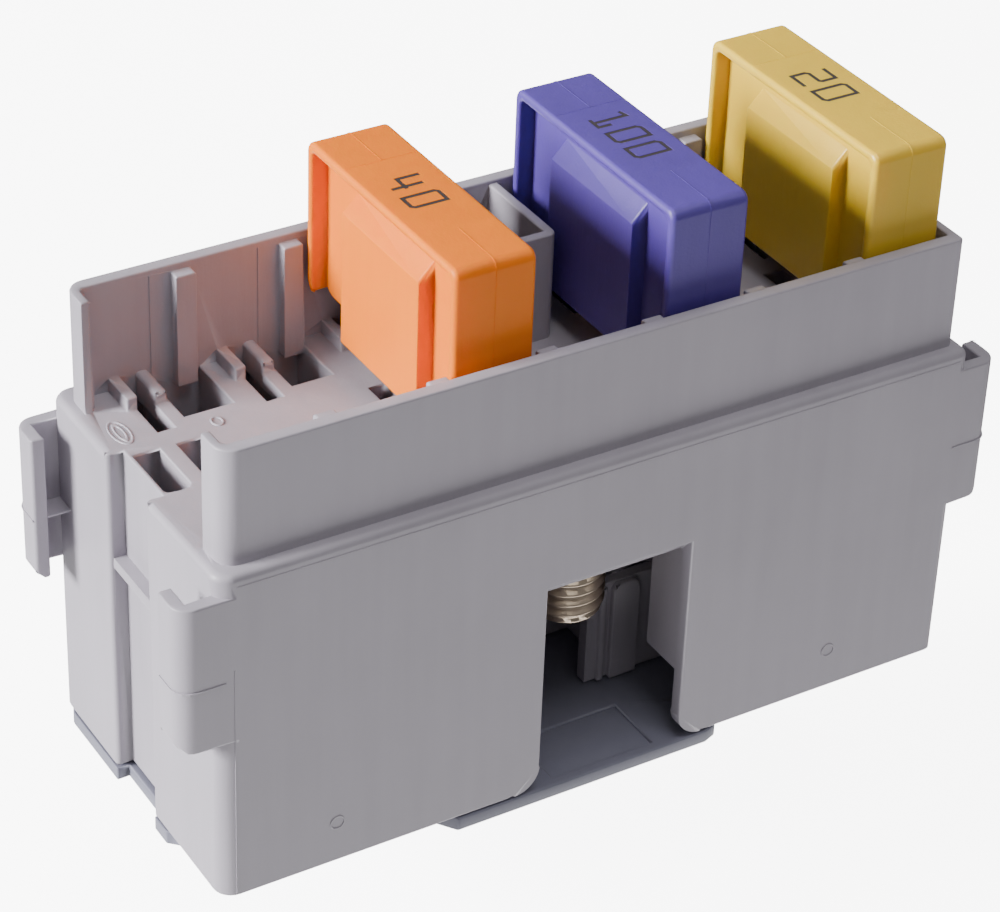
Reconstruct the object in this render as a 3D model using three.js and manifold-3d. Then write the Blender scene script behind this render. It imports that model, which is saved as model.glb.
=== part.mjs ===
// Six-way holder for large blade fuses, fed by one stud through a common busbar.
// Millimetres, +Z up. X runs along the row of fuses, the cable window faces -Y,
// and the origin is at the centre of the underside of the bottom cover.
import * as THREE from 'three';
import * as BufferGeometryUtils from 'three/addons/utils/BufferGeometryUtils.js';
import Module from 'manifold-3d';

const wasm = await Module();
wasm.setup();

// ---------- driving dimensions ----------
const PITCH = 12;                 // between neighbouring columns
const COLUMNS = [-3, -2, -1, 1, 2, 3];   // fuse positions, counted from the middle column
const FIT = 0.3;                  // gap left between touching pieces

const BODY_HALF_X = 43.3;
const BODY_HALF_Y = 18.5;
const BODY_CORNER = 2;            // left end; the right end is squarer
const BODY_CORNER_RIGHT = 1;
const DECK_Z = 40.3;              // top of the deck that carries the blade slots
const DECK_T = 1.8;
const WALL = 1.6;

const COVER_T = 1.6;
const BODY_Z = COVER_T + FIT;     // underside of the housing

const COLLAR_Z = 53;              // top of the walls around the fuses
const COLLAR_HALF_X = 42;
const COLLAR_HALF_Y = 17;
const COLLAR_WALL = 1.5;
const COLLAR_END_WALL = 1;
const COLLAR_RADIUS = 2;
const RETURN_LENGTH = 4.2;        // walls that turn the corner at the open left end

const BAY_HALF_Y = COLLAR_HALF_Y - COLLAR_WALL;
const REAR_SLOT = [-1, 0.8];      // sides of a rear blade slot, from its column's middle

const CHANNEL_Y = [-3.4, 5.2];    // upright channel in each end of the body
const CHANNEL_DEPTH = 1.8;
const CHANNEL_LIP = 0.5;          // rounding where a channel opens onto the end face
const SHELF_Z = 28;
const SHELF_T = 1.2;
const SHELF_SETBACK = 0.4;

const HOOK_Z = [21.1, 37.9];
const HOOK_REACH = 4.1;
const HOOK_WALL = 1.5;
const HOOK_LIP = 4.4;
const HOOK_CORNER = 2;
const HOOK_TIP = 0.9;             // chamfer under the outer end of each hook

const WINDOW_X = [-7, 10];        // cable window in the front wall
const WINDOW_TOP = 27;
const WINDOW_RADIUS = 3;
const CHAMBER_BACK = 3.4;
const CHAMBER_SIDE = [-11.6, 10];  // the right wall ends at this Y, and above this Z in front of it
const PARTITION_Y = [-5.8, -4.4];
const PARTITION_TOP = 14.4;

const ROOM_BACK = -2.6;           // back of the rooms either side of the cable chamber

const STUD_X = 1.5;
const STUD_Y = -8.8;
const STUD_R = 4;                 // M8
const STUD_Z = 15.9;
const STUD_HEAD = 11;
const STUD_HEAD_T = 3.2;

const BUSBAR_Z = [25.6, 27.1];
const BUSBAR_Y = [-15.8, -3.8];
const BUSBAR_HALF_X = 40;

const FUSE_W = 29.2;              // along Y
const FUSE_T = 8.9;               // along X
const FUSE_TOP = 63.9;
const FUSE_HEIGHT = 34.3;         // top of the body to the blade tips
const HEAD_Z = 46.1;              // underside of the fuse head
const PAD_Z = 44.1;               // underside of the middle pad, between the blades
const PAD_TOP = 59.4;
const PAD_HALF_Y = 7.6;
const RIM = 1;
const RECESS_DEPTH = 1.9;

const BLADE_T = 0.8;
const BLADE_Y = [7.1, 14.2];      // inner and outer edge of a blade, from the fuse's middle
const BLADE_Z = FUSE_TOP - FUSE_HEIGHT;
const LEG_Y = [7.1, 12.2];        // the narrower part of a blade, inside the body

const FUSES = [
  { rating: '40', column: -1, color: 0xf08a2c },
  { rating: '100', column: 1, color: 0x5a4a9c },
  { rating: '20', column: 3, color: 0xd2b445 },
];

// ---------- solids ----------
function toSolid(geometry) {
  const bare = geometry.index ? geometry.toNonIndexed() : geometry.clone();
  bare.deleteAttribute('normal');
  bare.deleteAttribute('uv');
  const merged = BufferGeometryUtils.mergeVertices(bare, 1e-5);
  return new wasm.Manifold(new wasm.Mesh({
    numProp: 3,
    vertProperties: new Float32Array(merged.attributes.position.array),
    triVerts: new Uint32Array(merged.index.array),
  }));
}

function toGeometry(solid) {
  const mesh = solid.getMesh();
  const geometry = new THREE.BufferGeometry();
  geometry.setAttribute('position', new THREE.BufferAttribute(new Float32Array(mesh.vertProperties), 3));
  geometry.setIndex(new THREE.BufferAttribute(new Uint32Array(mesh.triVerts), 1));
  geometry.computeVertexNormals();
  return geometry;
}

function join(...solids) {
  return solids.flat().reduce((sum, next) => sum.add(next));
}

function cut(solid, ...tools) {
  return tools.flat().reduce((rest, tool) => rest.subtract(tool), solid);
}

function box(x, y, z) {
  const geometry = new THREE.BoxGeometry(x[1] - x[0], y[1] - y[0], z[1] - z[0]);
  geometry.translate((x[0] + x[1]) / 2, (y[0] + y[1]) / 2, (z[0] + z[1]) / 2);
  return toSolid(geometry);
}

// A rectangle whose corners may each be rounded, in the order (-,-) (+,-) (+,+) (-,+).
function rectangle(x, y, radii = [0, 0, 0, 0], steps = 6) {
  const points = [];
  radii.forEach((r, i) => {
    const right = i === 1 || i === 2;
    const top = i > 1;
    const cx = right ? x[1] - r : x[0] + r;
    const cy = top ? y[1] - r : y[0] + r;
    const count = r > 0 ? steps : 0;
    for (let k = 0; k <= count; k += 1) {
      const angle = Math.PI * (1 + i / 2) + (count ? (k / count) * (Math.PI / 2) : 0);
      points.push([cx + r * Math.cos(angle), cy + r * Math.sin(angle)]);
    }
  });
  return polygon(points);
}

function polygon(points) {
  return new THREE.Shape(points.map(([a, b]) => new THREE.Vector2(a, b)));
}

function upright(shape, z) {
  const geometry = new THREE.ExtrudeGeometry(shape, { depth: z[1] - z[0], bevelEnabled: false });
  geometry.translate(0, 0, z[0]);
  return toSolid(geometry);
}

// Shape drawn in (Y, Z), run along X.
function alongX(shape, x) {
  const geometry = new THREE.ExtrudeGeometry(shape, { depth: x[1] - x[0], bevelEnabled: false });
  geometry.rotateY(Math.PI / 2);
  geometry.rotateX(Math.PI / 2);
  geometry.translate(x[0], 0, 0);
  return toSolid(geometry);
}

// Shape drawn in (X, Z), run along Y.
function alongY(shape, y) {
  const settings = { depth: y[1] - y[0], bevelEnabled: false, curveSegments: 6 };
  const geometry = new THREE.ExtrudeGeometry(shape, settings);
  geometry.rotateX(Math.PI / 2);
  geometry.translate(0, y[1], 0);
  return toSolid(geometry);
}

function cylinder(x, y, z, r, segments = 32) {
  const geometry = new THREE.CylinderGeometry(r, r, z[1] - z[0], segments);
  geometry.rotateX(Math.PI / 2);
  geometry.translate(x, y, (z[0] + z[1]) / 2);
  return toSolid(geometry);
}

// ---------- housing ----------
function hookRail(side, front) {
  const x0 = BODY_HALF_X - (side < 0 ? BODY_CORNER : BODY_CORNER_RIGHT);
  const x1 = BODY_HALF_X + HOOK_REACH;
  const y0 = BODY_HALF_Y - HOOK_WALL;
  const y1 = BODY_HALF_Y;
  const outer = rectangle([x0, x1], [y1 - HOOK_LIP, y1], [0, 0.4, HOOK_CORNER, 0]);
  const space = box([x0 - 1, x1 - HOOK_WALL], [y1 - HOOK_LIP - 1, y0], [0, DECK_Z]);
  const low = HOOK_Z[0];
  const tip = alongY(polygon([[x1 - HOOK_TIP, low - 1], [x1 + 1, low - 1], [x1 + 1, low + HOOK_TIP + 1],
    [x1, low + HOOK_TIP], [x1 - HOOK_TIP, low]]), [y1 - HOOK_LIP - 1, y1 + 1]);
  const rail = cut(upright(outer, HOOK_Z), space, tip);
  const turned = side < 0 ? rail.mirror([1, 0, 0]) : rail;
  return front ? turned.mirror([0, 1, 0]) : turned;
}

// The channel in one end, widening in a quarter round at its mouth.
function channelOutline(side) {
  const halfWidth = (CHANNEL_Y[1] - CHANNEL_Y[0]) / 2;
  const middle = (CHANNEL_Y[0] + CHANNEL_Y[1]) / 2;
  const x = BODY_HALF_X - CHANNEL_LIP;
  const y = halfWidth + CHANNEL_LIP;
  const mouth = [0, 1, 2, 3, 4].map((k) => {
    const angle = (k / 4) * (Math.PI / 2);
    return [x + CHANNEL_LIP * Math.sin(angle), y - CHANNEL_LIP * Math.cos(angle)];
  });
  const half = [[BODY_HALF_X - CHANNEL_DEPTH, halfWidth], ...mouth, [BODY_HALF_X + 1, y]];
  const other = half.map(([a, b]) => [a, -b]).reverse();
  const points = [...half, ...other].map(([a, b]) => [side * a, middle + b]);
  return polygon(side > 0 ? points.reverse() : points);
}

function bodyBlock() {
  const corner = [BODY_CORNER, BODY_CORNER_RIGHT, BODY_CORNER_RIGHT, BODY_CORNER];
  const outline = rectangle([-BODY_HALF_X, BODY_HALF_X], [-BODY_HALF_Y, BODY_HALF_Y], corner);
  const block = upright(outline, [BODY_Z, DECK_Z]);
  const channels = [-1, 1].map((side) => upright(channelOutline(side), [0, DECK_Z + 1]));
  const shelves = [-1, 1].map((side) => {
    const x = [side * (BODY_HALF_X - CHANNEL_DEPTH - 0.5), side * (BODY_HALF_X - SHELF_SETBACK)];
    const y = [CHANNEL_Y[0] - 0.2, CHANNEL_Y[1] + 0.2];
    return box(x.sort((a, b) => a - b), y, [SHELF_Z - SHELF_T, SHELF_Z]);
  });
  return join(cut(block, channels), shelves);
}

function collar() {
  const outer = upright(rectangle(
    [-COLLAR_HALF_X, COLLAR_HALF_X], [-COLLAR_HALF_Y, COLLAR_HALF_Y],
    [COLLAR_RADIUS, 0.5, 0.5, COLLAR_RADIUS]), [DECK_Z - 1, COLLAR_Z]);
  const bay = upright(rectangle(
    [-COLLAR_HALF_X + COLLAR_END_WALL, COLLAR_HALF_X - COLLAR_END_WALL], [-BAY_HALF_Y, BAY_HALF_Y],
    [0.8, 0.3, 0.3, 0.8]), [DECK_Z - 2, COLLAR_Z + 1]);
  const gapY = COLLAR_HALF_Y - RETURN_LENGTH;
  const openEnd = box([-BODY_HALF_X, -COLLAR_HALF_X + 3], [-gapY, gapY], [DECK_Z - 2, COLLAR_Z + 1]);
  return cut(outer, bay, openEnd);
}

// Upright guides between neighbouring fuses, on the inside of the back and front walls.
function bayGuides() {
  const halfWidth = 1.1;
  const depth = 1.3;
  const boundaries = [-2.5, -1.5, 1.5, 2.5].map((n) => n * PITCH);
  const back = boundaries.map((x) =>
    box([x - halfWidth, x + halfWidth], [BAY_HALF_Y - depth, BAY_HALF_Y + 0.5],
      [DECK_Z - 1, COLLAR_Z - 0.8]));
  const front = [...boundaries, -0.5 * PITCH, 0.5 * PITCH].map((x) =>
    box([x - halfWidth, x + halfWidth], [-BAY_HALF_Y - 0.5, -BAY_HALF_Y + depth],
      [DECK_Z - 1, COLLAR_Z - 0.5]));
  return [...back, ...front];
}

// The deep pocket that stands in the middle column, against the back wall.
const POCKET = { halfX: 6.5, y: 3.7, wall: 1.1, top: COLLAR_Z - 0.4, floor: 30 };

function pocket() {
  const { halfX, y, top } = POCKET;
  return upright(rectangle([-halfX, halfX], [y, BAY_HALF_Y + 0.5], [0.9, 0.9, 0, 0]), [DECK_Z - 1, top]);
}

function pocketSpace() {
  const { halfX, y, wall, top, floor } = POCKET;
  return box([-halfX + wall, halfX - wall], [y + wall, BAY_HALF_Y], [floor, top + 1]);
}

// Two low ribs on the deck, either side of each rear blade slot.
function slotRibs(x) {
  const y = [11.2, BAY_HALF_Y + 0.5];
  const thin = box([x - 2.2, x + REAR_SLOT[0]], y, [DECK_Z - 1, DECK_Z + 1.5]);
  const wideEnd = rectangle([x + REAR_SLOT[1], x + 2.2], [DECK_Z - 1, DECK_Z + 1.4], [0, 0, 0.5, 0.5], 3);
  const wide = alongY(wideEnd, y);
  return [thin, wide];
}

// Everything that is cut out of the body below the deck.
function bodyCavities() {
  const under = BODY_Z - 1;
  const deckUnder = DECK_Z - DECK_T;
  const inner = BODY_HALF_X - CHANNEL_DEPTH - WALL;
  const frontInner = -BODY_HALF_Y + WALL;
  const busY = [BUSBAR_Y[0] - FIT, BUSBAR_Y[1] + FIT];
  const cavities = [];

  // the rooms either side of the cable chamber, and the openings up to the busbar
  for (const x of [[-inner, WINDOW_X[0] - WALL], [WINDOW_X[1] + WALL, inner]]) {
    cavities.push(box(x, [frontInner, ROOM_BACK], [under, BUSBAR_Z[0] - 3]));
    cavities.push(box([x[0] + 2, x[1] - 2], [busY[0] + 2, busY[1] - 2], [under, BUSBAR_Z[0]]));
  }
  cavities.push(box([-BUSBAR_HALF_X - FIT, BUSBAR_HALF_X + FIT], busY,
    [BUSBAR_Z[0] - FIT, BUSBAR_Z[1] + FIT]));

  // cable chamber behind the window, and the space for the stud's head
  cavities.push(box(WINDOW_X, [frontInner, CHAMBER_BACK], [under, BUSBAR_Z[0] - FIT]));
  const side = [WINDOW_X[1] - 0.1, WINDOW_X[1] + WALL + 0.1];
  const sideBack = PARTITION_Y[1] - 0.2;
  cavities.push(box(side, [CHAMBER_SIDE[0], sideBack], [under, BUSBAR_Z[0] - 3]));
  cavities.push(box(side, [frontInner, sideBack], [under, CHAMBER_SIDE[1]]));
  const headHalf = STUD_HEAD / 2 + 0.6;
  cavities.push(box([STUD_X - headHalf, STUD_X + headHalf], [STUD_Y - headHalf, STUD_Y + headHalf],
    [BUSBAR_Z[1], deckUnder]));

  for (const x of COLUMNS.map((column) => column * PITCH)) {
    // front: the spring contact's cavity, with its blade slot above
    cavities.push(box([x - 3.2, x + 3.2], [-15.6, -6.2], [BUSBAR_Z[1], deckUnder]));
    cavities.push(box([x - 0.95, x + 0.85], [-15, -6.7], [deckUnder - 1, DECK_Z + 1]));
    // rear: the cavity for an outgoing terminal, open below, with its blade slot above
    cavities.push(box([x - 3.1, x + 1.5], [5.8, BAY_HALF_Y], [under, deckUnder]));
    cavities.push(box([x + REAR_SLOT[0], x + REAR_SLOT[1]], [6.7, BAY_HALF_Y], [deckUnder - 1, DECK_Z + 1]));
  }
  // core-outs between the rear cavities, right through
  for (const [column, width] of [[-3, 5.4], [-2, 4.6], [-1, 2.4], [1, 5.4], [2, 5.4]]) {
    const x = column * PITCH + 2.5;
    cavities.push(box([x, x + width], [8, BAY_HALF_Y], [under, DECK_Z + 1]));
  }
  // core-outs in the middle of the body, from below
  for (const [x0, x1] of [[-28.4, -19.6], [-16.4, -9], [12.4, 16.6], [19.6, 28.4], [31.6, 40.2]]) {
    cavities.push(box([x0, x1], [-1.4, 4.4], [under, deckUnder]));
  }
  cavities.push(box([-POCKET.halfX + 1.1, POCKET.halfX - 1.1], [5.8, BAY_HALF_Y - 0.1],
    [under, POCKET.floor - 2]));
  // two deep wells at the left end, and a small notch beside the first and last filled positions
  cavities.push(upright(rectangle([-41, -38.2], [-3.3, 3.9], [0.8, 0.8, 0, 0]), [12, DECK_Z + 1]));
  cavities.push(box([-36.3, -33.2], [-3.3, 3.8], [12, DECK_Z + 1]));
  for (const x of [-1 * PITCH - 2.9, 3 * PITCH - 2.9]) {
    cavities.push(box([x, x + 2.4], [-0.4, 3.85], [deckUnder - 1, DECK_Z + 1]));
  }
  return cavities;
}

// The window through the front wall, rounded outwards where it meets the underside.
function cableWindow() {
  const [x0, x1] = WINDOW_X;
  const r = WINDOW_RADIUS;
  const shape = new THREE.Shape();
  shape.moveTo(x0 - r, BODY_Z - 1);
  shape.lineTo(x0 - r, BODY_Z);
  shape.absarc(x0 - r, BODY_Z + r, r, -Math.PI / 2, 0, false);
  shape.lineTo(x0, WINDOW_TOP);
  shape.lineTo(x1, WINDOW_TOP);
  shape.lineTo(x1, BODY_Z + r);
  shape.absarc(x1 + r, BODY_Z + r, r, Math.PI, Math.PI * 1.5, false);
  shape.lineTo(x1 + r, BODY_Z - 1);
  shape.closePath();
  return alongY(shape, [-BODY_HALF_Y - 1, -BODY_HALF_Y + WALL + 0.1]);
}

// A low partition at the back right of the cable chamber, with a round-topped tongue and a rib on it.
function chamberPartition() {
  const y = PARTITION_Y[0];
  const wall = box([6.4, 16.5], PARTITION_Y, [BODY_Z, PARTITION_TOP]);
  const tongueFace = rectangle([9.2, 12.6], [BODY_Z, PARTITION_TOP - 0.2], [0, 0, 1, 1]);
  const tongue = alongY(tongueFace, [y - 0.6, y + 0.5]);
  const rib = cylinder(8.2, y, [BODY_Z, PARTITION_TOP - 0.4], 0.5, 12);
  return [wall, tongue, rib];
}

function housing() {
  const hooks = [-1, 1].flatMap((side) => [true, false].map((front) => hookRail(side, front)));
  const shell = cut(bodyBlock(), bodyCavities(), cableWindow());
  const ribs = COLUMNS.flatMap((column) => slotRibs(column * PITCH));
  const added = [hooks, collar(), bayGuides(), pocket(), ribs, chamberPartition()].flat();
  return cut(join(shell, added), pocketSpace());
}

// ---------- bottom cover ----------
function bottomCover() {
  const x = BODY_HALF_X;
  const y = BODY_HALF_Y;
  const notch = BODY_HALF_X - CHANNEL_DEPTH + 0.5;
  const inset = 3;                 // front edge, set back under the housing
  const tongue = [-18, 15.3];
  const chamfer = 1.6;
  const outline = polygon([
    [-x + 0.8, y - 0.8], [-x, y - 2.5],
    [-x, CHANNEL_Y[1]], [-notch, CHANNEL_Y[1]], [-notch, CHANNEL_Y[0]], [-x, CHANNEL_Y[0]],
    [-x, -6.2], [-x + 1.2, -7.4], [-x + 1.2, -y + inset], [tongue[0], -y + inset],
    [tongue[0], -y + 2.2], [tongue[0] + chamfer, -y], [tongue[1] - chamfer, -y], [tongue[1], -y + 0.6],
    [tongue[1], -y + inset], [x - 1.2, -y + inset], [x - 1.2, -7.4], [x, -6.2],
    [x, CHANNEL_Y[0]], [notch, CHANNEL_Y[0]], [notch, CHANNEL_Y[1]], [x, CHANNEL_Y[1]],
    [x, y - 2.5], [x - 0.8, y - 0.8],
  ].reverse());
  const plate = upright(outline, [0, COVER_T]);
  // four posts that clip inside the housing, two in each room beside the cable chamber
  const posts = [-34, -16, 20, 34].map((px) => box([px - 2.5, px + 2.5], [-16, -14.4], [COVER_T - 0.5, 12]));
  const label = box([-4.6, 7.6], [-17.3, -10.2], [COVER_T - 0.35, COVER_T + 1]);
  return cut(join(plate, posts), label);
}

// ---------- conductors ----------
function supplyStud() {
  const shank = cylinder(STUD_X, STUD_Y, [STUD_Z, BUSBAR_Z[1] + FIT + 1], STUD_R, 36);
  const half = STUD_HEAD / 2;
  const z = BUSBAR_Z[1] + FIT;
  const head = box([STUD_X - half, STUD_X + half], [STUD_Y - half, STUD_Y + half], [z, z + STUD_HEAD_T]);
  return join(shank, head);
}

function busbar() {
  const bar = box([-BUSBAR_HALF_X, BUSBAR_HALF_X], BUSBAR_Y, BUSBAR_Z);
  return cut(bar, cylinder(STUD_X, STUD_Y, [BUSBAR_Z[0] - 1, BUSBAR_Z[1] + 1], STUD_R + FIT, 36));
}

// A spring clip: a flat base with two leaves that close in on the blade and flare at the top.
function feedContact(x) {
  const z = BUSBAR_Z[1] + FIT;
  const section = polygon([
    [x - 2.6, z], [x + 2.6, z], [x + 2.6, z + 4], [x + 1.5, z + 8.2], [x + 2.1, z + 10], [x + 1.4, z + 10],
    [x + 0.7, z + 8.2], [x + 1.8, z + 4], [x + 1.8, z + 0.9], [x - 1.8, z + 0.9], [x - 1.8, z + 4],
    [x - 0.7, z + 8.2], [x - 1.4, z + 10], [x - 2.1, z + 10], [x - 1.5, z + 8.2], [x - 2.6, z + 4],
  ]);
  return alongY(section, [-14.9, -6.6]);
}

// ---------- fuses ----------
function fuseBody(x) {
  const halfW = FUSE_W / 2;
  const outer = rectangle([-halfW, halfW], [HEAD_Z, FUSE_TOP], [2.4, 2.4, 0.6, 0.6]);
  const head = alongX(outer, [x - FUSE_T / 2, x + FUSE_T / 2]);
  const recessY = [-halfW + RIM, halfW - RIM];
  const recessZ = [HEAD_Z - 1, FUSE_TOP - RIM];
  const floor = FUSE_T / 2 - RECESS_DEPTH;
  const recesses = [-1, 1].map((side) =>
    box([x + side * floor, x + side * FUSE_T].sort((a, b) => a - b), recessY, recessZ));
  const face = FUSE_T / 2 - 0.15;
  const pad = alongY(polygon([
    [x - face, PAD_Z], [x + face, PAD_Z], [x + face, PAD_TOP], [x + floor - 0.2, PAD_TOP + 1.9],
    [x - floor + 0.2, PAD_TOP + 1.9], [x - face, PAD_TOP],
  ]), [-PAD_HALF_Y, PAD_HALF_Y]);
  const chamber = box([x - BLADE_T / 2 - FIT, x + BLADE_T / 2 + FIT], [-LEG_Y[1] - FIT, LEG_Y[1] + FIT],
    [PAD_Z - 1, FUSE_TOP - 5]);
  return cut(join(cut(head, recesses), pad), chamber);
}

// Two blades, their narrower legs inside the body, and the bridge that melts.
function fuseElement(x) {
  const tip = 1.4;
  const shoulder = HEAD_Z - FIT;
  const legTop = FUSE_TOP - 6.5;
  const bridge = 2.4;
  const half = [
    [BLADE_Y[0], legTop - bridge], [BLADE_Y[0], BLADE_Z + tip], [BLADE_Y[0] + tip, BLADE_Z],
    [BLADE_Y[1] - tip, BLADE_Z], [BLADE_Y[1], BLADE_Z + tip], [BLADE_Y[1], shoulder], [LEG_Y[1], shoulder],
    [LEG_Y[1], legTop],
  ];
  const mirrored = half.map(([y, z]) => [-y, z]).reverse();
  return alongX(polygon([...half, ...mirrored]), [x - BLADE_T / 2, x + BLADE_T / 2]);
}

// ---------- assembly ----------
function piece(name, solid, color, roughness, metalness) {
  const material = new THREE.MeshStandardMaterial({ color, roughness, metalness });
  const mesh = new THREE.Mesh(toGeometry(solid), material);
  mesh.name = name;
  return mesh;
}

const holder = new THREE.Group();
holder.add(piece('housing', housing(), 0x9d989e, 0.5, 0));
holder.add(piece('bottom_cover', bottomCover(), 0x75748a, 0.5, 0));
holder.add(piece('supply_stud', supplyStud(), 0xb3a58c, 0.3, 1));
holder.add(piece('busbar', busbar(), 0xb9b9b4, 0.35, 1));
[...COLUMNS].reverse().forEach((column, i) => {
  holder.add(piece(`feed_contact_${i + 1}`, feedContact(column * PITCH), 0xc2c2bd, 0.3, 1));
});
for (const { rating, column, color } of FUSES) {
  holder.add(piece(`fuse_body_${rating}`, fuseBody(column * PITCH), color, 0.4, 0));
  holder.add(piece(`fuse_element_${rating}`, fuseElement(column * PITCH), 0xb8b9bc, 0.35, 1));
}

export default holder;
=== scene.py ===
# %% [markdown]
# # A row holder for large blade fuses
#
# The object is a module from a vehicle or boat: a grey nylon housing about as long as a hand
# is wide, with six fuse positions in a row. Three are filled. A threaded stud inside the front
# window takes the supply cable, a busbar carries the current to the front blade of every fuse,
# and a darker cover closes the underside.
#
# The CAD model gives every size. It could be shown as it is, but its edges are knife sharp and
# its surfaces are bare. So the moulded pieces are rebuilt here with rounded edges, parting
# lines and grain, and the metal that hardly shows keeps its CAD shape and gets a better finish.

# %% Load the frame
import math

import bmesh
import bpy
from mathutils import Matrix, Vector


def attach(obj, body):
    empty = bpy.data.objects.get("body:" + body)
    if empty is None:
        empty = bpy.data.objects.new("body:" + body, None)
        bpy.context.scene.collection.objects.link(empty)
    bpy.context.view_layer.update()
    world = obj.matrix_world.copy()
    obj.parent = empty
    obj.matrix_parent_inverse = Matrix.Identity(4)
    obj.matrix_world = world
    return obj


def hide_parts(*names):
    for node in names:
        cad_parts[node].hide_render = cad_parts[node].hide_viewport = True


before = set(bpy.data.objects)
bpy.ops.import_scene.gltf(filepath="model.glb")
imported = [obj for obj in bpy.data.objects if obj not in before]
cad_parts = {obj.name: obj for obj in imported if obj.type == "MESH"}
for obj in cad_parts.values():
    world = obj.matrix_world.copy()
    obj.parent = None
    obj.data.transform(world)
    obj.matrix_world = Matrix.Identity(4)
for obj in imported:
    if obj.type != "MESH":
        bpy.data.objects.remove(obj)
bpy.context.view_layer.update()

MM = 0.001

# %% [markdown]
# ## Where the viewer stands
#
# The holder is seen from its front left corner, a little more than a forearm away, looking down
# by about a third of a right angle. A camera could be aimed with a Track To constraint. Here its
# direction comes from two angles and a small roll, because a lens that is this long makes every
# degree count.

# %% Camera
CAMERA_PLACE = Vector((-0.152821, -0.240040, 0.219399))
CAMERA_AZIMUTH = -31.375
CAMERA_ELEVATION = 32.842
CAMERA_ROLL = 1.88
CAMERA_LENS = 119.655

turn = Matrix.Rotation(math.radians(CAMERA_AZIMUTH), 4, "Z")
tilt = Matrix.Rotation(math.radians(90 - CAMERA_ELEVATION), 4, "X")
roll = Matrix.Rotation(math.radians(CAMERA_ROLL), 4, "Z")
camera = bpy.data.objects.new("camera", bpy.data.cameras.new("camera"))
camera.matrix_world = Matrix.Translation(CAMERA_PLACE) @ turn @ tilt @ roll
camera.data.sensor_width = 36
camera.data.lens = CAMERA_LENS
camera.data.shift_x = 0.0382
camera.data.shift_y = -0.0508
camera.data.clip_start = 0.01
bpy.context.collection.objects.link(camera)
bpy.context.scene.camera = camera
print("camera looks along", [round(v, 3) for v in camera.matrix_world.col[2].xyz * -1])

# %% [markdown]
# ## Floor and sky
#
# A product on white needs a wide pale floor that runs past the edge of the view. Its paint has
# a glow of its own, so that it stays near white without lamps that would wash out the object. It
# lies a little lower than the holder stands, which leaves the bottom cover room to drop.
#
# On a table the upright faces get most of their light back from the table top. This floor could
# do that, but a floor bright enough to look white would flood every face that looks down. So it
# is hidden from diffuse and glossy rays, and a bright band of sky below the horizon does the
# same job at a level of its own.

# %% Floor and sky
FLOOR_HALF = 6
FLOOR_HEIGHT = -0.021
FLOOR_GLOW = 7
SKY_STRENGTH = 5.5

# Levels of the sky, as (direction up, brightness): -1 is straight down, 1 is straight up.
SKY = [
    (-0.98, 0.5), (-0.92, 0.92), (-0.74, 0.92), (-0.55, 0.04),
    (0.2, 0.04), (0.7, 0.08), (1.0, 0.08),
]

floor_mesh = bpy.data.meshes.new("floor")
shape = bmesh.new()
bmesh.ops.create_grid(shape, x_segments=1, y_segments=1, size=FLOOR_HALF)
shape.to_mesh(floor_mesh)
shape.free()
floor = bpy.data.objects.new("floor", floor_mesh)
bpy.context.collection.objects.link(floor)
floor.location.z = FLOOR_HEIGHT
floor.visible_diffuse = False
floor.visible_glossy = False

floor_paint = bpy.data.materials.new("pale floor")
floor_paint.use_nodes = True
paint = floor_paint.node_tree.nodes["Principled BSDF"].inputs
paint["Base Color"].default_value = (1, 1, 1, 1)
paint["Roughness"].default_value = 0.9
paint["Emission Color"].default_value = (1, 1, 1, 1)
paint["Emission Strength"].default_value = FLOOR_GLOW
floor_mesh.materials.append(floor_paint)

sky = bpy.data.worlds.new("studio")
sky.use_nodes = True
tree = sky.node_tree
direction = tree.nodes.new("ShaderNodeTexCoord")
height = tree.nodes.new("ShaderNodeSeparateXYZ")
tree.links.new(direction.outputs["Generated"], height.inputs["Vector"])
half = tree.nodes.new("ShaderNodeMapRange")
half.inputs["From Min"].default_value = -1
tree.links.new(height.outputs["Z"], half.inputs["Value"])
bands = tree.nodes.new("ShaderNodeValToRGB")
tree.links.new(half.outputs["Result"], bands.inputs["Fac"])
while len(bands.color_ramp.elements) > 1:
    bands.color_ramp.elements.remove(bands.color_ramp.elements[-1])
for i, (up, level) in enumerate(SKY):
    along = up / 2 + 0.5
    stop = bands.color_ramp.elements[0] if i == 0 else bands.color_ramp.elements.new(along)
    stop.position = along
    stop.color = (level, level, level, 1)
strength = tree.nodes.new("ShaderNodeMath")
strength.operation = "MULTIPLY"
strength.inputs[1].default_value = SKY_STRENGTH
tree.links.new(bands.outputs["Color"], strength.inputs[0])
tree.links.new(strength.outputs["Value"], tree.nodes["Background"].inputs["Strength"])
tree.nodes["Background"].inputs["Color"].default_value = (1, 1, 1, 1)
bpy.context.scene.world = sky
print("sky levels:", len(SKY), "floor at", FLOOR_HEIGHT / MM, "mm")

# %% [markdown]
# ## Two soft boxes
#
# The key light is a soft box low on the left. It makes the left faces bright and throws a long
# shadow into the fuse bay. A weaker one hangs overhead. They could be aimed with a constraint,
# but a rotation worked out once from two points is easier to read.

# %% Soft boxes
def soft_box(name, place, aim, size, watts):
    """A square area light at a place, turned to face a point."""
    lamp = bpy.data.lights.new(name, "AREA")
    lamp.size = size
    lamp.energy = watts
    light = bpy.data.objects.new(name, lamp)
    light.location = place
    light.rotation_euler = (Vector(aim) - Vector(place)).to_track_quat("-Z", "Y").to_euler()
    bpy.context.collection.objects.link(light)
    return light


MIDDLE = (0, 0, 0.03)
soft_box("left box", (-0.92, 0.2, 0.39), MIDDLE, 0.35, 32)
soft_box("overhead box", (0.0, -0.35, 1.1), MIDDLE, 0.5, 5)

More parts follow.
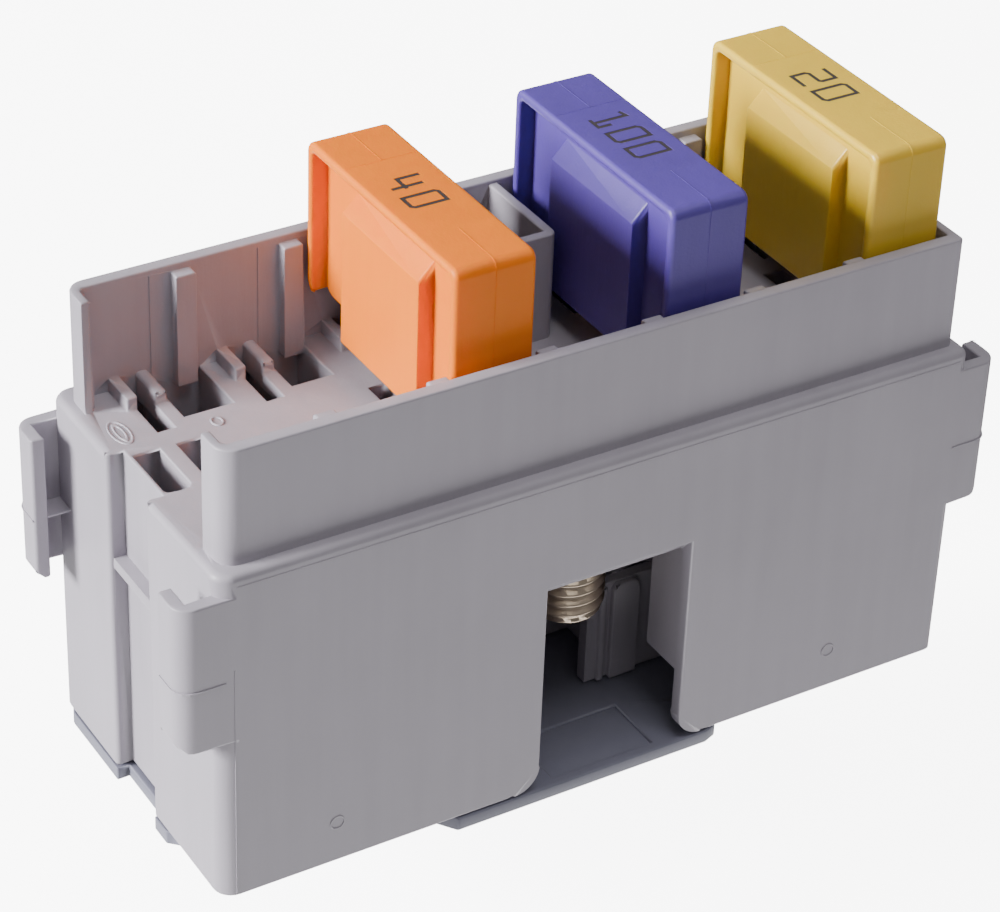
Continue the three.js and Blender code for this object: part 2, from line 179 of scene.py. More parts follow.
# %% [markdown]
# ## Moulded nylon
#
# The housing is glass-filled nylon. Close up it is never one flat colour: the melt leaves faint
# clouds and streaks along the way it flowed, and the tool leaves a fine matte grain. An image
# could hold all that, but noise on Object coordinates does it at any distance and needs no
# unwrapping. One function makes every plastic of this object, so that all of them share the
# same build and only their colours, grain and gloss differ. The fuse plastics also let some
# light in, which is what gives a coloured fuse its glow at the rim.

# %% Plastics
def noise(tree, coordinates, scale, detail=3.0, stretch=None):
    """A noise texture in object space, in cycles per metre, optionally stretched."""
    source = coordinates.outputs["Object"]
    if stretch:
        mapping = tree.nodes.new("ShaderNodeMapping")
        mapping.inputs["Scale"].default_value = stretch
        tree.links.new(source, mapping.inputs["Vector"])
        source = mapping.outputs["Vector"]
    texture = tree.nodes.new("ShaderNodeTexNoise")
    texture.inputs["Scale"].default_value = scale
    texture.inputs["Detail"].default_value = detail
    tree.links.new(source, texture.inputs["Vector"])
    return texture.outputs["Fac"]


def spread(tree, source, low, high, from_low=0.3, from_high=0.7):
    """Maps a 0 to 1 pattern onto a range of values."""
    node = tree.nodes.new("ShaderNodeMapRange")
    node.inputs["From Min"].default_value = from_low
    node.inputs["From Max"].default_value = from_high
    node.inputs["To Min"].default_value = low
    node.inputs["To Max"].default_value = high
    tree.links.new(source, node.inputs["Value"])
    return node.outputs["Result"]


def blend_colours(tree, factor, first, second):
    """Mixes two colours, or a colour and a node's output, by a pattern."""
    node = tree.nodes.new("ShaderNodeMix")
    node.data_type = "RGBA"
    tree.links.new(factor, node.inputs["Factor"])
    for socket, value in ((node.inputs["A"], first), (node.inputs["B"], second)):
        if isinstance(value, tuple):
            colour_socket(node, socket.name).default_value = (*value, 1)
        else:
            tree.links.new(value, colour_socket(node, socket.name))
    return node.outputs[2]


def colour_socket(node, name):
    """The colour input of that name, since a Mix node has one of each type."""
    return next(s for s in node.inputs if s.name == name and s.type == "RGBA")


def shade_of(colour, factor):
    """The same colour, lighter or darker."""
    return tuple(min(1.0, channel * factor) for channel in colour)


GRAIN_HEIGHT = 0.00004
RIPPLE_HEIGHT = 0.0002
GLOW_DEPTH = 0.002


def moulded_plastic(name, colour, roughness, clouds=0.06, grain=0.25, translucency=0.0, glow=None,
                    shine=0.45):
    """Plastic with faint clouds, flow streaks, patchy gloss and a fine grain.

    Translucency is the share of light that goes in, and glow how far each colour of it gets.
    """
    material = bpy.data.materials.new(name)
    material.use_nodes = True
    tree = material.node_tree
    shader = tree.nodes["Principled BSDF"]
    where = tree.nodes.new("ShaderNodeTexCoord")

    patches = noise(tree, where, 55, 4)
    streaks = noise(tree, where, 90, 3, stretch=(6, 6, 0.35))
    mottled = blend_colours(tree, spread(tree, patches, 0, 1),
                            shade_of(colour, 1 - clouds), shade_of(colour, 1 + clouds))
    flowing = blend_colours(tree, spread(tree, streaks, 0, clouds * 3),
                            mottled, shade_of(colour, 1.25))
    tree.links.new(flowing, shader.inputs["Base Color"])
    patchy = spread(tree, patches, roughness - 0.06, roughness + 0.06)
    tree.links.new(patchy, shader.inputs["Roughness"])
    shader.inputs["Specular IOR Level"].default_value = shine

    fine = noise(tree, where, 3200, 2)
    bump = tree.nodes.new("ShaderNodeBump")
    bump.inputs["Strength"].default_value = grain
    bump.inputs["Distance"].default_value = GRAIN_HEIGHT
    tree.links.new(fine, bump.inputs["Height"])
    ripple = tree.nodes.new("ShaderNodeBump")
    ripple.inputs["Strength"].default_value = 0.25
    ripple.inputs["Distance"].default_value = RIPPLE_HEIGHT
    tree.links.new(streaks, ripple.inputs["Height"])
    tree.links.new(bump.outputs["Normal"], ripple.inputs["Normal"])
    tree.links.new(ripple.outputs["Normal"], shader.inputs["Normal"])

    if translucency:
        shader.inputs["Subsurface Weight"].default_value = translucency
        shader.inputs["Subsurface Radius"].default_value = glow
        shader.inputs["Subsurface Scale"].default_value = GLOW_DEPTH
    return material


HOUSING_GREY = (0.330, 0.306, 0.350)
COVER_GREY = (0.165, 0.165, 0.215)
housing_plastic = moulded_plastic("housing nylon", HOUSING_GREY, 0.46)
cover_plastic = moulded_plastic("cover nylon", COVER_GREY, 0.42)
fuse_plastic = {
    "40": moulded_plastic("orange fuse plastic", (0.80, 0.18, 0.0), 0.5, clouds=0.04, grain=0.5,
                          translucency=0.25, glow=(1, 0.45, 0.1), shine=0.32),
    "100": moulded_plastic("violet fuse plastic", (0.075, 0.045, 0.27), 0.45, clouds=0.05, grain=0.5,
                           translucency=0.2, glow=(0.5, 0.3, 1), shine=0.6),
    "20": moulded_plastic("yellow fuse plastic", (0.69, 0.45, 0.03), 0.4, clouds=0.04, grain=0.4,
                          translucency=0.35, glow=(1, 0.8, 0.25), shine=0.65),
}
print("plastics:", sorted(m.name for m in bpy.data.materials))

# %% [markdown]
# ## Metal finishes
#
# Three metals are used: nickel on the steel stud, dull tin on the busbar and contacts, and the
# bright zinc of the fuse blades. Metal is nearly all reflection, so what tells them apart is the
# tint and how the roughness varies. Fine lines along the rolling direction come from noise that
# is stretched a long way on one axis.

# %% Metals
LINE_HEIGHT = 0.00003


def plated_metal(name, colour, roughness, lines=(1, 1, 30), stained=1.0):
    """A metal with drawn lines and uneven gloss, more or less stained."""
    material = bpy.data.materials.new(name)
    material.use_nodes = True
    tree = material.node_tree
    shader = tree.nodes["Principled BSDF"]
    where = tree.nodes.new("ShaderNodeTexCoord")
    drawn = noise(tree, where, 900, 2, stretch=lines)
    stains = noise(tree, where, 260, 4)
    tint = blend_colours(tree, spread(tree, stains, 0, 1),
                         shade_of(colour, 1 - 0.18 * stained), shade_of(colour, 1 + 0.08 * stained))
    tree.links.new(tint, shader.inputs["Base Color"])
    uneven = spread(tree, stains, roughness - 0.08 * stained, roughness + 0.1 * stained)
    tree.links.new(uneven, shader.inputs["Roughness"])
    shader.inputs["Metallic"].default_value = 1
    bump = tree.nodes.new("ShaderNodeBump")
    bump.inputs["Strength"].default_value = 0.2
    bump.inputs["Distance"].default_value = LINE_HEIGHT
    tree.links.new(drawn, bump.inputs["Height"])
    tree.links.new(bump.outputs["Normal"], shader.inputs["Normal"])
    return material


nickel = plated_metal("nickel on steel", (0.50, 0.41, 0.32), 0.34, lines=(1, 1, 8), stained=0.2)
tin = plated_metal("dull tin", (0.70, 0.69, 0.65), 0.38, lines=(1, 30, 1), stained=0.5)
zinc = plated_metal("bright zinc", (0.72, 0.72, 0.73), 0.27, lines=(30, 1, 30), stained=0.3)

for node in ("busbar", *[f"feed_contact_{i}" for i in range(1, 7)]):
    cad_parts[node].data.materials.clear()
    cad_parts[node].data.materials.append(tin)
for rating in ("40", "100", "20"):
    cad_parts[f"fuse_element_{rating}"].data.materials.clear()
    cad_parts[f"fuse_element_{rating}"].data.materials.append(zinc)
print("CAD nodes with a metal finish: busbar, six contacts, three fuse elements")

# %% [markdown]
# ## Tools for solid shapes
#
# Most of the work is adding and cutting solids, then rounding their edges. A box and a bevel
# are the start of nearly every shape here. Edges are picked by their direction and by where they
# are, which still works when a size changes, while picking them by number would not.

# %% Boxes and bevels
def block(low, high, unit=MM):
    """A bmesh box between two corners."""
    solid = bmesh.new()
    bmesh.ops.create_cube(solid, size=1)
    low, high = Vector(low) * unit, Vector(high) * unit
    bmesh.ops.scale(solid, verts=solid.verts, vec=high - low)
    bmesh.ops.translate(solid, verts=solid.verts, vec=(low + high) / 2)
    return solid


def edges_along(solid, axis, keep=lambda middle: True):
    """The edges that run along one axis, filtered by where their middle is, in millimetres."""
    found = []
    for edge in solid.edges:
        run = edge.verts[1].co - edge.verts[0].co
        middle = (edge.verts[0].co + edge.verts[1].co) / 2 / MM
        if abs(run[axis]) > 0.999 * run.length and keep(middle):
            found.append(edge)
    return found


def round_off(solid, edges, radius, segments=4, clamp=True):
    """Rounds edges by a radius in millimetres, less where a short edge clamps it."""
    bmesh.ops.bevel(solid, geom=edges, offset=radius * MM, offset_type="OFFSET", segments=segments,
                    profile=0.5, affect="EDGES", material=-1, clamp_overlap=clamp)


# %% [markdown]
# ## Adding and cutting
#
# Solids are joined and cut with the exact Boolean solver, because walls of a millimetre leave no
# room for the fast one's errors. The result is merged and its flat faces are cleaned, since a
# bevel stumbles over slivers.

# %% Objects and Booleans
def as_object(solid, name):
    """Turns a bmesh into an object at the origin."""
    mesh = bpy.data.meshes.new(name)
    bmesh.ops.recalc_face_normals(solid, faces=solid.faces)
    solid.to_mesh(mesh)
    solid.free()
    made = bpy.data.objects.new(name, mesh)
    bpy.context.collection.objects.link(made)
    return made


MERGE_WITHIN = 0.004
FLAT_ANGLE = 0.4


def tidy_mesh(mesh):
    """Merges doubled points and dissolves the edges that flat faces don't need."""
    solid = bmesh.new()
    solid.from_mesh(mesh)
    bmesh.ops.remove_doubles(solid, verts=solid.verts, dist=MERGE_WITHIN * MM)
    bmesh.ops.dissolve_limit(solid, angle_limit=math.radians(FLAT_ANGLE), verts=solid.verts,
                             edges=solid.edges, delimit={"NORMAL"})
    solid.to_mesh(mesh)
    solid.free()


def apply_modifiers(piece):
    """Replaces a piece's mesh by what its modifiers make."""
    view = bpy.context.evaluated_depsgraph_get()
    made = bpy.data.meshes.new_from_object(piece.evaluated_get(view))
    piece.modifiers.clear()
    piece.data = made
    return piece


def combine(piece, others, operation):
    """Joins other solids to a piece, or cuts them out of it, then removes them."""
    for other in others:
        step = piece.modifiers.new(operation.lower(), "BOOLEAN")
        step.operation = operation
        step.solver = "EXACT"
        step.object = other
    apply_modifiers(piece)
    for other in others:
        bpy.data.objects.remove(other)
    tidy_mesh(piece.data)
    return piece


# %% [markdown]
# ## Rounding the last edges
#
# The last rounding is a live Bevel modifier. It could pick its edges by angle, but then it also
# rounds inner corners, where its new faces fold over each other between close walls. So each
# outward edge that is sharp gets a weight, and the modifier follows the weights. The inner
# corners stay crisp, as they do in a real mould. Weighted normals then keep flat faces flat.

# %% Edge rounding and placing
SHARP_ANGLE = 32


def finish_edges(piece, radius, leave=lambda middle: False):
    """Rounds the outward edges that are still sharp; inner ones and those to leave stay crisp."""
    solid = bmesh.new()
    solid.from_mesh(piece.data)
    weight = solid.edges.layers.float.new("bevel_weight_edge")
    for face in solid.faces:
        face.smooth = True
    for edge in solid.edges:
        sharp = edge.is_manifold and edge.calc_face_angle() > math.radians(SHARP_ANGLE)
        middle = (edge.verts[0].co + edge.verts[1].co) / 2 / MM
        crisp = sharp and (not edge.is_convex or leave(middle))
        edge[weight] = 1.0 if sharp and not crisp else 0.0
        edge.smooth = not crisp
    bmesh.ops.triangulate(solid, faces=solid.faces)
    solid.to_mesh(piece.data)
    solid.free()
    step = piece.modifiers.new("edge rounding", "BEVEL")
    step.width = radius * MM
    step.segments = 2
    step.limit_method = "WEIGHT"
    step.use_clamp_overlap = False
    step.miter_outer = "MITER_ARC"
    shading = piece.modifiers.new("flat faces stay flat", "WEIGHTED_NORMAL")
    shading.mode = "FACE_AREA"
    shading.weight = 80
    shading.keep_sharp = True
    return piece


def place(piece, body, slot, material, *nodes):
    """Gives a piece its finish, hides the CAD nodes that it stands for, and ties it to a body."""
    piece.data.materials.clear()
    piece.data.materials.append(material)
    if nodes:
        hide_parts(*nodes)
    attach(piece, body)
    print(f"{piece.name}: {len(piece.data.polygons)} faces before rounding, on {body}")
    return piece


print("merged within", MERGE_WITHIN, "mm, sharp from", SHARP_ANGLE, "degrees")

# %% [markdown]
# ## The housing
#
# On the real part this is one shot of nylon: fuse bay, deck, body, hook rails. Its plain shape
# is already right in the CAD model, so a copy of that is merged and its flat faces are cleaned
# of triangles. The ledge round the fuse bay has a wide rounding, which is made first. It could
# run on into the round mouths of the channels in both ends, but those are tighter than it is,
# and its faces would cross. So the ledge's faces are cut just beside each mouth, and the wide
# rounding stops there. All other outward edges get the same small radius at the end.

# %% Housing outline
def copy_of_node(node, name):
    """A merged copy of a CAD node's mesh, clean enough to be bevelled."""
    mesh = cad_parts[node].data.copy()
    mesh.materials.clear()
    made = bpy.data.objects.new(name, mesh)
    bpy.context.collection.objects.link(made)
    tidy_mesh(mesh)
    return made


DECK_Z = 40.3
BODY_HALF_X, BODY_HALF_Y = 43.3, 18.5
CORNER_LEFT, CORNER_RIGHT = 2.0, 1.0
CHANNEL_MIDDLE_Y = 0.9
LEDGE_STOP = 4.95
LEDGE_ROUNDING = 0.8
WINDOW_MIDDLE_X, WINDOW_FOOT_X, WINDOW_FOOT_TOP = 1.5, 10, 5.5
HOUSING_ROUNDING = 0.22


def on_body_outline(point):
    """True for a point in millimetres on the outer outline of the housing's body."""
    x, y = abs(point.x), abs(point.y)
    if abs(point.y - CHANNEL_MIDDLE_Y) < LEDGE_STOP - 0.01:
        return False
    r = CORNER_LEFT if point.x < 0 else CORNER_RIGHT
    if x > BODY_HALF_X - r and y > BODY_HALF_Y - r:
        return math.hypot(x - BODY_HALF_X + r, y - BODY_HALF_Y + r) > r - 0.05
    return x > BODY_HALF_X - 0.02 or y > BODY_HALF_Y - 0.02


def window_foot(point):
    """True for a point in millimetres on the round lower corners of the cable window."""
    beside = abs(abs(point.x - WINDOW_MIDDLE_X) - WINDOW_FOOT_X)
    return point.y < -15 and point.z < WINDOW_FOOT_TOP and beside < 1.8


def at_ledge_height(edge):
    """True for an edge that lies at the height of the ledge and the deck."""
    return all(abs(v.co.z / MM - DECK_Z) < 0.01 for v in edge.verts)


def cut_beside_channels(solid):
    """Cuts the ledge's faces at both ends, just beside the mouth of each channel."""
    for side in (-1, 1):
        beside = {face for edge in solid.edges for face in edge.link_faces
                  if at_ledge_height(edge)
                  and all(abs(abs(v.co.x / MM) - BODY_HALF_X) < 0.01 for v in edge.verts)}
        around = {part for face in beside for part in (*face.edges, *face.verts)}
        bmesh.ops.bisect_plane(solid, geom=[*beside, *around], plane_no=(0, 1, 0),
                               plane_co=(0, (CHANNEL_MIDDLE_Y + side * LEDGE_STOP) * MM, 0))


# %% [markdown]
# ## Rounding the housing
#
# The wide rounding goes in first, while the ledge's edges are still long and clean. The foot of
# the cable window is left out of the small one: its round corners are tight already, and another
# bevel there only leaves a crease.

# %% Housing
housing = copy_of_node("housing", "housing_shell")
solid = bmesh.new()
solid.from_mesh(housing.data)
cut_beside_channels(solid)
ledge = [edge for edge in solid.edges
         if at_ledge_height(edge) and all(on_body_outline(v.co / MM) for v in edge.verts)]
print("ledge edges rounded:", len(ledge))
round_off(solid, ledge, LEDGE_ROUNDING, 4, clamp=False)
solid.to_mesh(housing.data)
solid.free()
finish_edges(housing, HOUSING_ROUNDING, leave=window_foot)
place(housing, "holder", "housing_nylon", housing_plastic, "housing")

# %% [markdown]
# ## Traces of the mould
#
# Moulded parts show where the tool opened and where its pins and inserts met: hair-thin ribs,
# rings and seams. They could be drawn in a bump map, but a real raised line catches light along
# its own edge and survives in the mesh, so each is a tiny closed solid, half sunk in the wall.
# The rings stand where a maker's signs would be and say nothing.

# %% Ribs and rings
PROUD = 0.1
RING_WIRE = 0.1
QUARTER = math.radians(90)


def seam(low, high):
    """A hair-thin rib between two corners."""
    return as_object(block(low, high), "seam")


def ring(centre, across, up, wire=RING_WIRE, upright=False):
    """A raised oval ring on a level face, or on an upright one that looks along Y."""
    solid = bmesh.new()
    bmesh.ops.create_circle(solid, segments=8, radius=wire * MM, matrix=Matrix.Rotation(QUARTER, 4, "X"))
    bmesh.ops.translate(solid, verts=solid.verts, vec=(across * MM, 0, 0))
    bmesh.ops.spin(solid, geom=solid.edges[:], cent=(0, 0, 0), axis=(0, 0, 1), angle=math.tau,
                   steps=40, use_merge=True)
    bmesh.ops.scale(solid, verts=solid.verts, vec=(1, up / across, 1))
    if upright:
        bmesh.ops.rotate(solid, verts=solid.verts, cent=(0, 0, 0),
                         matrix=Matrix.Rotation(QUARTER, 3, "X"))
    bmesh.ops.translate(solid, verts=solid.verts, vec=Vector(centre) * MM)
    return as_object(solid, "ring")


# %% [markdown]
# ## Where the marks sit
#
# Parting lines follow the joint of the tool: along the ledge, up one corner and through the
# hooks. All marks are put into one mesh, because nobody will ever move one of them alone.

# %% Mould marks
HOOK_X, HOOK_CORNER = 47.4, 2
FRONT_Y, BAY_BACK_Y = -18.5, 15.5


def hook_seam(side, front):
    """The seam of one hook, as a thin slab that reaches through it and stands proud all round."""
    solid = block((42.5, 14.3, 28.2), (HOOK_X + PROUD, BODY_HALF_Y + PROUD, 28.4))
    outer = edges_along(solid, 2, lambda m: m.x > HOOK_X - 0.4 and m.y > BODY_HALF_Y - 0.5)
    round_off(solid, outer, HOOK_CORNER)
    bmesh.ops.scale(solid, verts=solid.verts, vec=(side, front, 1))
    return as_object(solid, "hook seam")


marks = [
    # parting lines on the front: along the ledge, and up from the foot beside the left corner
    seam((-41.2, FRONT_Y - PROUD / 2, 38.95), (42.2, FRONT_Y + 0.2, 39.07)),
    seam((-41.66, FRONT_Y - PROUD / 2, 2.2), (-41.54, FRONT_Y + 0.3, 29.5)),
    # witness lines inside the fuse bay
    seam((-33.46, BAY_BACK_Y - PROUD, 40.5), (-33.34, BAY_BACK_Y + 0.2, 52.3)),
    seam((-21.46, BAY_BACK_Y - PROUD, 40.5), (-21.34, BAY_BACK_Y + 0.2, 52.3)),
    seam((-40.95 - PROUD, 13.1, 40.5), (-40.8, 13.22, 52.6)),
    # ejector rings on the front, and rings on the deck
    ring((-30.5, FRONT_Y, 6.8), 0.75, 0.75, upright=True),
    ring((28.8, FRONT_Y, 6.8), 0.75, 0.75, upright=True),
    ring((-31.1, 5.6, DECK_Z), 0.55, 0.75, wire=0.13),
    ring((-40.4, 8.2, DECK_Z), 0.95, 2.1),
    ring((-40.4, 8.2, DECK_Z), 0.4, 1.4),
]
marks += [hook_seam(side, front) for side in (-1, 1) for front in (-1, 1)]
mould_marks = marks[0]
mould_marks.name = "housing_mould_marks"
solid = bmesh.new()
for mark in marks:
    solid.from_mesh(mark.data)
solid.to_mesh(mould_marks.data)
solid.free()
for mark in marks[1:]:
    bpy.data.objects.remove(mark)
place(mould_marks, "holder", "housing_nylon", housing_plastic)

# %% [markdown]
# ## The bottom cover
#
# A darker plate that clips in from below. Its tongue comes forward under the cable window and
# has a shallow recess for a label. It is flat all over, so nothing has to be modelled again: a
# merged copy of the CAD shape with rounded edges is enough.

# %% Bottom cover
cover = copy_of_node("bottom_cover", "bottom_cover_plate")
COVER_ROUNDING = 0.2
finish_edges(cover, COVER_ROUNDING)
place(cover, "cover", "cover_nylon", cover_plastic, "bottom_cover")

# %% [markdown]
# ## The supply stud
#
# An M8 thread is a helix. The Screw modifier could spin a profile, but its ends need patching.
# Here a rod is cut into many thin rings, and each point moves in or out by where it sits on the
# helix, which leaves one closed body with its end already capped.

# %% Supply stud
STUD_X, STUD_Y, STUD_R = 1.5, -8.8, 4.0
STUD_LOW, STUD_HIGH = 15.9, 27.4
STUD_PITCH, STUD_DEPTH = 1.25, 0.62
CREST_SHARE, FLANK_SHARE = 0.12, 0.76
POINT_HEIGHT, POINT_DEPTH = 0.9, 1.3
HEAD_HALF, HEAD_TOP, HEAD_CORNER = 5.5, 30.6, 0.8


def thread_depth(angle, height):
    """How far the surface lies below the crest, in millimetres, on the helix."""
    phase = (height / STUD_PITCH - angle / math.tau) % 1
    wave = abs(phase - 0.5) * 2
    return STUD_DEPTH * min(1, max(0, (wave - CREST_SHARE) / FLANK_SHARE))


solid = bmesh.new()
length = STUD_HIGH - STUD_LOW
bmesh.ops.create_cone(solid, cap_ends=True, segments=48, radius1=STUD_R * MM, radius2=STUD_R * MM,
                      depth=length * MM)
bmesh.ops.subdivide_edges(solid, edges=edges_along(solid, 2), cuts=110)
for vert in solid.verts:
    height = vert.co.z / MM + length / 2
    angle = math.atan2(vert.co.y, vert.co.x)
    depth = thread_depth(angle, height) + max(0, POINT_HEIGHT - height) * 0.9
    factor = (STUD_R - min(depth, POINT_DEPTH)) / STUD_R
    vert.co.x *= factor
    vert.co.y *= factor
bmesh.ops.translate(solid, verts=solid.verts,
                    vec=Vector((STUD_X, STUD_Y, (STUD_LOW + STUD_HIGH) / 2)) * MM)
head = block((STUD_X - HEAD_HALF, STUD_Y - HEAD_HALF, STUD_HIGH),
             (STUD_X + HEAD_HALF, STUD_Y + HEAD_HALF, HEAD_TOP))
round_off(head, edges_along(head, 2), HEAD_CORNER)
stud = as_object(solid, "supply_stud_threaded")
combine(stud, [as_object(head, "stud head")], "UNION")
stud.data.shade_smooth()
place(stud, "holder", "stud_steel", nickel, "supply_stud")

# %% [markdown]
# ## Fuse bodies
#
# Each fuse is a hollow plastic head. A raised rim runs round its edge, a pad stands in the
# middle of each side, and the rating is stamped into the flat panel on top. It could be one
# sculpted mesh, but the shape is plainly made of slabs, so it is built as the toolmaker cut it:
# a rounded slab, recesses cut from both sides, a pad put back, and a groove for each digit.

# %% Fuse shapes
FUSE_HALF_T, FUSE_HALF_W = 4.45, 14.6
FUSE_TOP, FUSE_HEAD = 63.9, 46.1
PAD_LOW, PAD_HIGH, PAD_HALF_W, PAD_FACE = 44.1, 59.4, 7.6, 4.3
PAD_SLOPE, PAD_BREAK = 1.5, 0.4
RECESS_FLOOR = 2.55
RIM = 1.0
SHOULDER_CORNER, TOP_CORNER, RIM_ROUNDING, RECESS_CORNER = 2.4, 1.1, 0.5, 0.7
CROWN = 0.12


def slab(x0, x1, grow=0.0):
    """A slab of the fuse head's side outline, with round corners, between two X positions."""
    solid = block((x0, -FUSE_HALF_W - grow, FUSE_HEAD - grow),
                  (x1, FUSE_HALF_W + grow, FUSE_TOP + grow - CROWN))
    round_off(solid, edges_along(solid, 0, lambda m: m.z < FUSE_HEAD + 1), SHOULDER_CORNER, 6)
    round_off(solid, edges_along(solid, 0, lambda m: m.z > FUSE_TOP - 1), TOP_CORNER, 4)
    return solid


def fuse_head():
    """The outer block, with a soft rounding all round both of its broad sides."""
    solid = slab(-FUSE_HALF_T, FUSE_HALF_T)
    rim_edges = [e for e in solid.edges if abs(e.verts[0].co.x - e.verts[1].co.x) < 0.01 * MM]
    round_off(solid, rim_edges, RIM_ROUNDING, 3, clamp=False)
    return solid


def fuse_recess(side):
    """What is cut from one side: open at the bottom, with rounded inner corners at the top."""
    xs = sorted((side * RECESS_FLOOR, side * 9))
    solid = block((xs[0], -FUSE_HALF_W + RIM, 40), (xs[1], FUSE_HALF_W - RIM, FUSE_TOP - RIM - 0.1))
    round_off(solid, edges_along(solid, 0, lambda m: m.z > 60), RECESS_CORNER, 3)
    return solid


def fuse_pad():
    """The pad through the middle, sloped back at its top on both sides."""
    solid = block((-PAD_FACE, -PAD_HALF_W, PAD_LOW), (PAD_FACE, PAD_HALF_W, PAD_HIGH + PAD_SLOPE))
    top = [v for v in solid.verts if v.co.z / MM > PAD_HIGH]
    bmesh.ops.scale(solid, verts=top, vec=((RECESS_FLOOR - 0.1) / PAD_FACE, 1, 1))
    bmesh.ops.bisect_plane(solid, geom=solid.verts[:] + solid.edges[:] + solid.faces[:],
                           plane_co=(0, 0, (PAD_HIGH - PAD_BREAK) * MM), plane_no=(0, 0, 1))
    for vert in solid.verts:
        if abs(vert.co.z / MM - PAD_HIGH + PAD_BREAK) < 0.01:
            vert.co.x = math.copysign(PAD_FACE * MM, vert.co.x)
    return solid


def shift(solid, x):
    """Moves a solid to a column."""
    bmesh.ops.translate(solid, verts=solid.verts, vec=(x * MM, 0, 0))
    return solid


print("fuse head:", 2 * FUSE_HALF_T, "by", 2 * FUSE_HALF_W, "mm, top at", FUSE_TOP)

# %% [markdown]
# ## The stamped ratings
#
# The ratings are plain numbers, drawn with a single line as an engraving machine does. A text
# object would bring a font along, so each digit is a few strokes on a small grid instead. A
# stroke is a strip of wall given its thickness by Solidify, which mitres the corners.

# %% Digits
STROKE = 0.48
DIGIT_DEPTH = 0.08

# Strokes of each rating: (across, up), in millimetres from the middle of the fuse's top.
RATING_STROKES = {
    "40": [
        [(-3.4, 1.95), (-3.4, -0.55), (-1.35, -0.55)],
        [(-1.8, 1.5), (-1.8, -2.0)],
        [(0.15, -1.95), (0.15, 1.6), (0.4, 1.9), (2.2, 1.9), (2.2, -1.6), (1.9, -1.95), (0.15, -1.95)],
    ],
    "100": [
        [(-5.3, 2.1), (-4.3, 2.35), (-4.3, -1.3)],
        [(-5.1, -1.5), (-3.35, -1.5), (-3.35, 0.05)],
        [(-1.85, -1.55), (-1.85, 1.9), (-1.5, 2.3), (0.25, 2.3), (0.25, -1.2), (-0.1, -1.55),
         (-1.85, -1.55)],
        [(1.65, -1.55), (1.65, 1.9), (2.0, 2.3), (3.75, 2.3), (3.75, -1.2), (3.4, -1.55), (1.65, -1.55)],
    ],
    "20": [
        [(-3.6, 2.0), (-1.3, 2.0), (-1.3, 0.3), (-1.5, 0.05), (-3.3, 0.05), (-3.6, -0.25), (-3.6, -1.95),
         (-1.1, -1.95)],
        [(0.15, -2.0), (0.15, 1.65), (0.45, 2.0), (2.45, 2.0), (2.45, -1.65), (2.1, -2.0), (0.15, -2.0)],
    ],
}


def stroke_strip(name, points, x, low, high, width):
    """One stroke as a closed strip: a wall along the points, thickened about its middle."""
    solid = bmesh.new()
    closed = points[0] == points[-1]
    line = points[:-1] if closed else points
    verts = [solid.verts.new((x * MM + up * MM, -across * MM, low * MM)) for across, up in line]
    pairs = list(zip(verts, verts[1:])) + ([(verts[-1], verts[0])] if closed else [])
    edges = [solid.edges.new(pair) for pair in pairs]
    wall = bmesh.ops.extrude_edge_only(solid, edges=edges)["geom"]
    top = [item for item in wall if isinstance(item, bmesh.types.BMVert)]
    bmesh.ops.translate(solid, verts=top, vec=(0, 0, (high - low) * MM))
    strip = as_object(solid, name)
    step = strip.modifiers.new("width", "SOLIDIFY")
    step.thickness = width * MM
    step.offset = 0
    step.use_even_offset = True
    return apply_modifiers(strip)


ink = moulded_plastic("stamped foil", (0.035, 0.028, 0.03), 0.4, clouds=0.2, grain=0.3)
print("ratings drawn:", list(RATING_STROKES))

# %% [markdown]
# ## Putting a fuse together
#
# The order matters: recesses first, then the pad, then the hollow for the metal from below, then
# the top panel and its digits. The thin fin where the two halves of the mould met is a slightly
# larger slab, a tenth of a millimetre thick, and the panel cut trims it off where the stamp sits.
# The grooves are cut before the edges are rounded, since a Boolean is surer on plain faces.

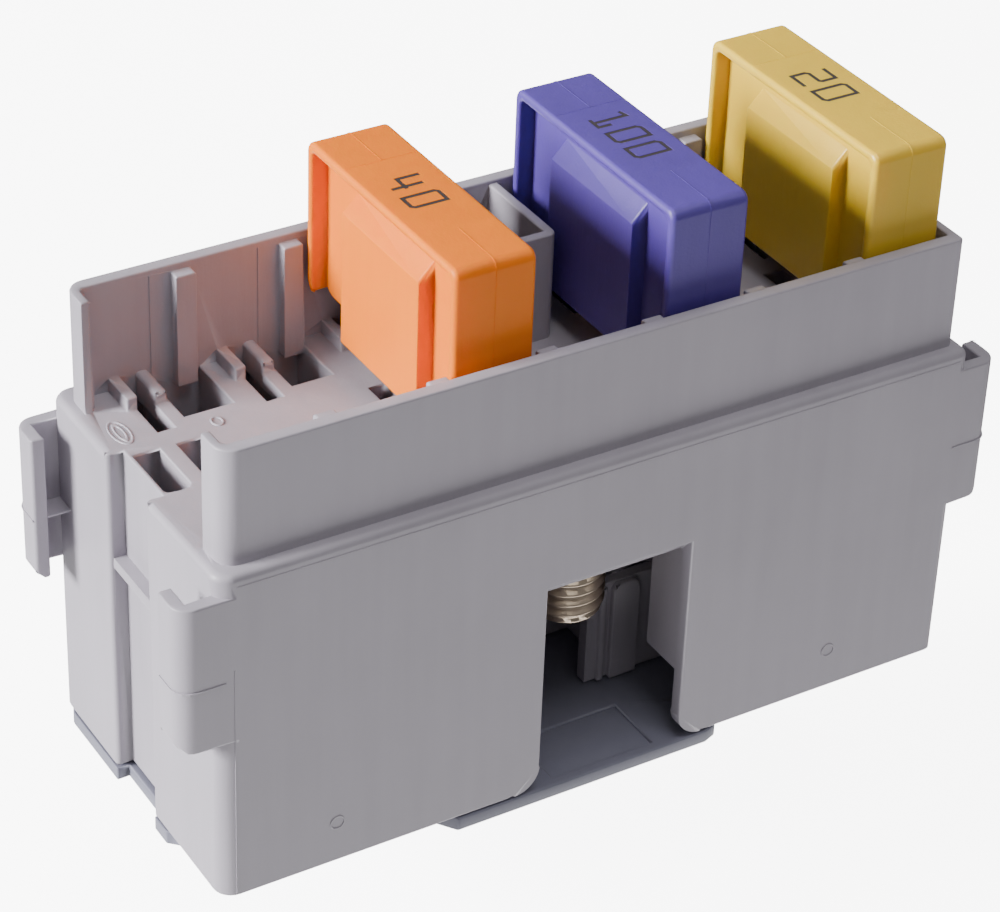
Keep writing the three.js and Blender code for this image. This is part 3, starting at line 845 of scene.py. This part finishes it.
# %% Fuses
FUSE_COLUMNS = {"40": -12, "100": 12, "20": 36}
FUSE_SLOT = {"40": "fuse_orange", "100": "fuse_violet", "20": "fuse_yellow"}
FUSE_ROUNDING = 0.3
FIN_HALF_T, FIN_PROUD = 0.06, 0.03
PANEL_HALF_W, PANEL_Z = 7.4, FUSE_TOP - CROWN - 0.02
HOLLOW_HALF_T, HOLLOW_HALF_W, HOLLOW_TOP = 0.7, 12.5, FUSE_TOP - 5
GROOVE_FLOOR = PANEL_Z - DIGIT_DEPTH
INK_HALF_T = 0.05

for rating, x in FUSE_COLUMNS.items():
    body = as_object(shift(fuse_head(), x), f"fuse_{rating}_body")
    recesses = [as_object(shift(fuse_recess(side), x), "recess") for side in (-1, 1)]
    combine(body, recesses, "DIFFERENCE")
    combine(body, [as_object(shift(fuse_pad(), x), "pad")], "UNION")
    combine(body, [as_object(shift(slab(-FIN_HALF_T, FIN_HALF_T, FIN_PROUD), x), "fin")], "UNION")
    panel = block((x - 6, -PANEL_HALF_W, PANEL_Z), (x + 6, PANEL_HALF_W, FUSE_TOP + 1))
    hollow = block((x - HOLLOW_HALF_T, -HOLLOW_HALF_W, PAD_LOW - 1),
                   (x + HOLLOW_HALF_T, HOLLOW_HALF_W, HOLLOW_TOP))
    combine(body, [as_object(panel, "panel"), as_object(hollow, "hollow")], "DIFFERENCE")
    for points in RATING_STROKES[rating]:
        groove = stroke_strip("groove", points, x, GROOVE_FLOOR, PANEL_Z + 0.5, STROKE)
        combine(body, [groove], "DIFFERENCE")
    finish_edges(body, FUSE_ROUNDING, leave=lambda m: m.z > FUSE_TOP - 0.4 or abs(m.x - x) < 0.8)
    place(body, f"fuse_{rating}", FUSE_SLOT[rating], fuse_plastic[rating], f"fuse_body_{rating}")

    lines = [stroke_strip(f"fuse_{rating}_rating", points, x, GROOVE_FLOOR - INK_HALF_T,
                          GROOVE_FLOOR + INK_HALF_T, STROKE)
             for points in RATING_STROKES[rating]]
    if len(lines) > 1:
        combine(lines[0], lines[1:], "UNION")
    place(lines[0], f"fuse_{rating}", FUSE_SLOT[rating], ink)
